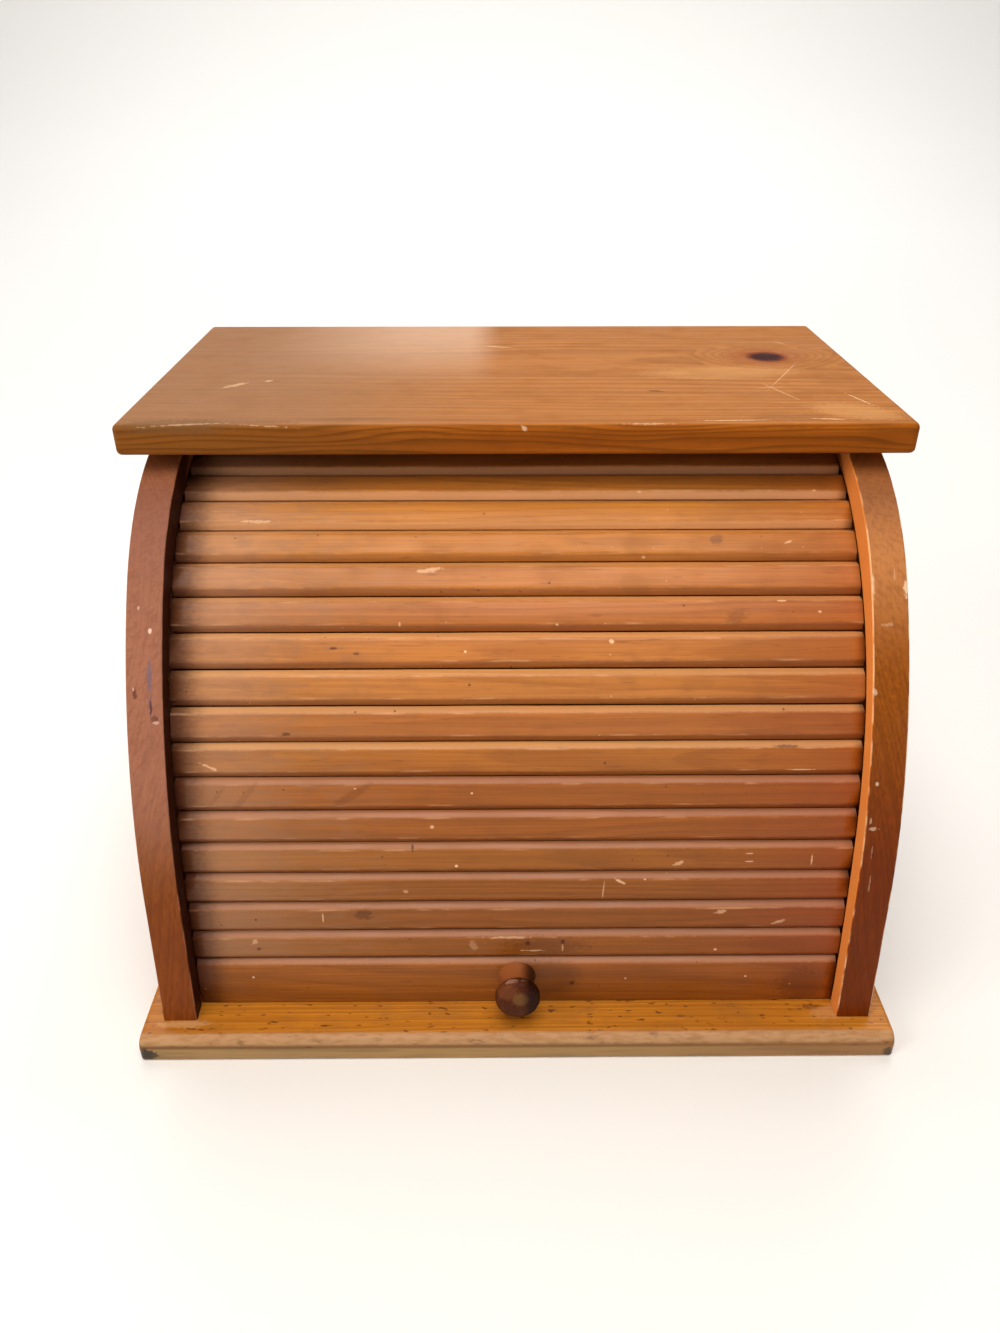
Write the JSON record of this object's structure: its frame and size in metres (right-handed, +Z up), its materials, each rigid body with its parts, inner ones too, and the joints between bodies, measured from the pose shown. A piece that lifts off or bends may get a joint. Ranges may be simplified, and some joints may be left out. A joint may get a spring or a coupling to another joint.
{
  "type": "bread box",
  "caption": "Roll-top bread box in varnished pine: curved sides between two boards, a slatted tambour front with a turned knob that rolls up under the top.",
  "frame": {"origin": "on the floor under the middle of the base board", "axes": "+X to the right along the width, +Y to the back, +Z up; the tambour faces -Y"},
  "size_m": [0.432, 0.371, 0.3264],
  "materials": {
    "varnished_pine_boards": "amber gloss varnish, worn at the edges",
    "varnished_pine_slats": "amber gloss varnish",
    "turned_knob_wood": "dark gloss varnish",
    "plywood": "thin varnished plywood",
    "beech_dowels": "bare",
    "cotton_canvas": "plain weave, glue-stiffened",
    "zinc_plated_steel": "zinc plated"
  },
  "bodies": {
    "carcass": {"base_board": "varnished_pine_boards", "top_board": "varnished_pine_boards", "left_side_panel": "varnished_pine_boards", "right_side_panel": "varnished_pine_boards", "back_panel": "plywood", "base_screws": "zinc_plated_steel", "top_dowels": "beech_dowels", "back_screws": "zinc_plated_steel"},
    "lead_rail_with_knob": {"lead_rail": "varnished_pine_slats", "lead_cloth": "cotton_canvas", "knob": "turned_knob_wood", "knob_screw": "zinc_plated_steel"},
    "slat_01_piece": {"slat_01": "varnished_pine_slats", "cloth_01": "cotton_canvas"},
    "slat_02_piece": {"slat_02": "varnished_pine_slats", "cloth_02": "cotton_canvas"},
    "slat_03_piece": {"slat_03": "varnished_pine_slats", "cloth_03": "cotton_canvas"},
    "slat_04_piece": {"slat_04": "varnished_pine_slats", "cloth_04": "cotton_canvas"},
    "slat_05_piece": {"slat_05": "varnished_pine_slats", "cloth_05": "cotton_canvas"},
    "slat_06_piece": {"slat_06": "varnished_pine_slats", "cloth_06": "cotton_canvas"},
    "slat_07_piece": {"slat_07": "varnished_pine_slats", "cloth_07": "cotton_canvas"},
    "slat_08_piece": {"slat_08": "varnished_pine_slats", "cloth_08": "cotton_canvas"},
    "slat_09_piece": {"slat_09": "varnished_pine_slats", "cloth_09": "cotton_canvas"},
    "slat_10_piece": {"slat_10": "varnished_pine_slats", "cloth_10": "cotton_canvas"},
    "slat_11_piece": {"slat_11": "varnished_pine_slats", "cloth_11": "cotton_canvas"},
    "slat_12_piece": {"slat_12": "varnished_pine_slats", "cloth_12": "cotton_canvas"},
    "slat_13_piece": {"slat_13": "varnished_pine_slats", "cloth_13": "cotton_canvas"},
    "slat_14_piece": {"slat_14": "varnished_pine_slats", "cloth_14": "cotton_canvas"},
    "slat_15_piece": {"slat_15": "varnished_pine_slats", "cloth_15": "cotton_canvas"},
    "slat_16_piece": {"slat_16": "varnished_pine_slats", "cloth_16": "cotton_canvas"}
  },
  "joints": [
    {"name": "roll_top", "type": "hinge", "parent": "carcass", "child": "lead_rail_with_knob", "pos_m": [0, 0.17927, 0.03211], "axis": [-1, 0, 0], "range_deg": [0, 47.5]},
    {"name": "slat_16_run", "type": "hinge", "parent": "carcass", "child": "slat_16_piece", "pos_m": [0, 0.13088, 0.05364], "axis": [-1, 0, 0], "range_deg": [0, 56.43]},
    {"name": "slat_15_run", "type": "hinge", "parent": "carcass", "child": "slat_15_piece", "pos_m": [0, 0.10119, 0.06972], "axis": [-1, 0, 0], "range_deg": [0, 64.04]},
    {"name": "slat_14_run", "type": "hinge", "parent": "carcass", "child": "slat_14_piece", "pos_m": [0, 0.07829, 0.08477], "axis": [-1, 0, 0], "range_deg": [0, 71.78]},
    {"name": "slat_13_run", "type": "hinge", "parent": "carcass", "child": "slat_13_piece", "pos_m": [0, 0.0612, 0.0984], "axis": [-1, 0, 0], "range_deg": [0, 79.32]},
    {"name": "slat_12_run", "type": "hinge", "parent": "carcass", "child": "slat_12_piece", "pos_m": [0, 0.04928, 0.10979], "axis": [-1, 0, 0], "range_deg": [0, 86.06]},
    {"name": "slat_11_run", "type": "hinge", "parent": "carcass", "child": "slat_11_piece", "pos_m": [0, 0.04099, 0.11971], "axis": [-1, 0, 0], "range_deg": [0, 92.12]},
    {"name": "slat_10_run", "type": "hinge", "parent": "carcass", "child": "slat_10_piece", "pos_m": [0, 0.03539, 0.12826], "axis": [-1, 0, 0], "range_deg": [0, 97.55]},
    {"name": "slat_09_run", "type": "hinge", "parent": "carcass", "child": "slat_09_piece", "pos_m": [0, 0.03177, 0.13535], "axis": [-1, 0, 0], "range_deg": [0, 102.22]},
    {"name": "slat_08_run", "type": "hinge", "parent": "carcass", "child": "slat_08_piece", "pos_m": [0, 0.02952, 0.14185], "axis": [-1, 0, 0], "range_deg": [0, 106.6]},
    {"name": "slat_07_run", "type": "hinge", "parent": "carcass", "child": "slat_07_piece", "pos_m": [0, 0.02842, 0.148], "axis": [-1, 0, 0], "range_deg": [0, 110.95]},
    {"name": "slat_06_run", "type": "hinge", "parent": "carcass", "child": "slat_06_piece", "pos_m": [0, 0.02835, 0.15341], "axis": [-1, 0, 0], "range_deg": [0, 115.02]},
    {"name": "slat_05_run", "type": "hinge", "parent": "carcass", "child": "slat_05_piece", "pos_m": [0, 0.02902, 0.15773], "axis": [-1, 0, 0], "range_deg": [0, 118.53]},
    {"name": "slat_04_run", "type": "hinge", "parent": "carcass", "child": "slat_04_piece", "pos_m": [0, 0.02997, 0.1606], "axis": [-1, 0, 0], "range_deg": [0, 121.08]},
    {"name": "slat_03_run", "type": "hinge", "parent": "carcass", "child": "slat_03_piece", "pos_m": [0, 0.03052, 0.16163], "axis": [-1, 0, 0], "range_deg": [0, 122.14]},
    {"name": "slat_02_run", "type": "hinge", "parent": "carcass", "child": "slat_02_piece", "pos_m": [0, 0.03057, 0.16171], "axis": [-1, 0, 0], "range_deg": [0, 122.21]},
    {"name": "slat_01_run", "type": "hinge", "parent": "carcass", "child": "slat_01_piece", "pos_m": [0, 0.03049, 0.16162], "axis": [-1, 0, 0], "range_deg": [0, 122.1]}
  ],
  "couplings": [
    {"joint": "slat_16_run", "follows": "roll_top", "ratio": 1.1881},
    {"joint": "slat_15_run", "follows": "roll_top", "ratio": 1.3482},
    {"joint": "slat_14_run", "follows": "roll_top", "ratio": 1.5112},
    {"joint": "slat_13_run", "follows": "roll_top", "ratio": 1.67},
    {"joint": "slat_12_run", "follows": "roll_top", "ratio": 1.8118},
    {"joint": "slat_11_run", "follows": "roll_top", "ratio": 1.9395},
    {"joint": "slat_10_run", "follows": "roll_top", "ratio": 2.0537},
    {"joint": "slat_09_run", "follows": "roll_top", "ratio": 2.1521},
    {"joint": "slat_08_run", "follows": "roll_top", "ratio": 2.2444},
    {"joint": "slat_07_run", "follows": "roll_top", "ratio": 2.3359},
    {"joint": "slat_06_run", "follows": "roll_top", "ratio": 2.4217},
    {"joint": "slat_05_run", "follows": "roll_top", "ratio": 2.4957},
    {"joint": "slat_04_run", "follows": "roll_top", "ratio": 2.5492},
    {"joint": "slat_03_run", "follows": "roll_top", "ratio": 2.5715},
    {"joint": "slat_02_run", "follows": "roll_top", "ratio": 2.573},
    {"joint": "slat_01_run", "follows": "roll_top", "ratio": 2.5708}
  ]
}
